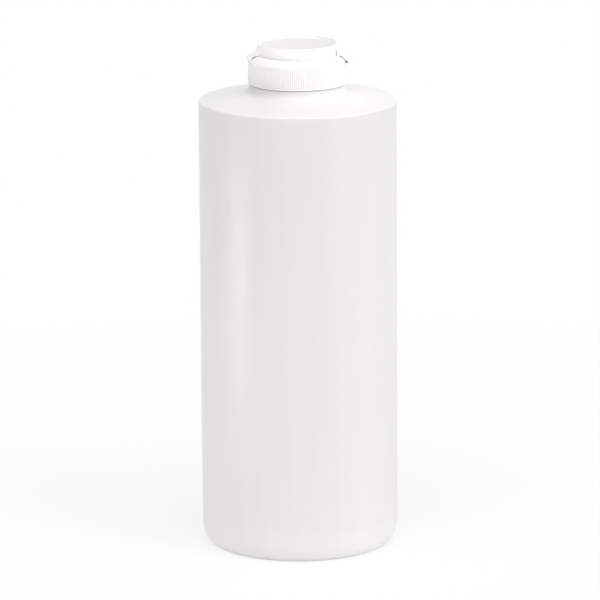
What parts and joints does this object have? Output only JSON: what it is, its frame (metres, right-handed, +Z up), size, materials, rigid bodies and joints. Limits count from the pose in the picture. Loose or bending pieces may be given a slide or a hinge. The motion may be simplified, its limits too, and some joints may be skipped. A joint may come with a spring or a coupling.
{
  "type": "squeeze bottle",
  "caption": "Round squeeze bottle of milky plastic with a ribbed screw cap and a snap-shut flip-top lid over a pouring nozzle.",
  "frame": {"origin": "centre of the bottle's base, on the plane it stands on", "axes": "+Z up along the bottle's axis; +X towards the lid's hinge, -X towards its thumb tab; the picture looks along +Y"},
  "size_m": [0.079, 0.079, 0.204],
  "materials": {
    "milky_plastic": "natural, undyed blown plastic: milky and translucent, satin, slightly wavy",
    "cap_plastic": "white moulded plastic with a soft sheen, fine vertical ribs on the skirt",
    "seal_foam": "white closed-cell foam, dull"
  },
  "bodies": {
    "bottle": {"bottle_body": "milky_plastic"},
    "seal": {"neck_seal": "seal_foam"},
    "cap": {"cap_base": "cap_plastic"},
    "lid": {"flip_lid": "cap_plastic"}
  },
  "joints": [
    {"name": "cap_lift", "type": "slide", "parent": "bottle", "child": "seal", "axis": [0, 0, 1], "range_m": [0, 0.0127]},
    {"name": "cap_turn", "type": "hinge", "parent": "seal", "child": "cap", "pos_m": [0, 0, 0.192], "axis": [0, 0, 1], "range_deg": [0, 1080]},
    {"name": "lid_hinge", "type": "hinge", "parent": "cap", "child": "lid", "pos_m": [0.0204, 0, 0.197], "axis": [0, 1, 0], "range_deg": [0, 150]}
  ],
  "couplings": [
    {"joint": "cap_lift", "follows": "cap_turn", "m_per_rad": 0.0006737}
  ]
}
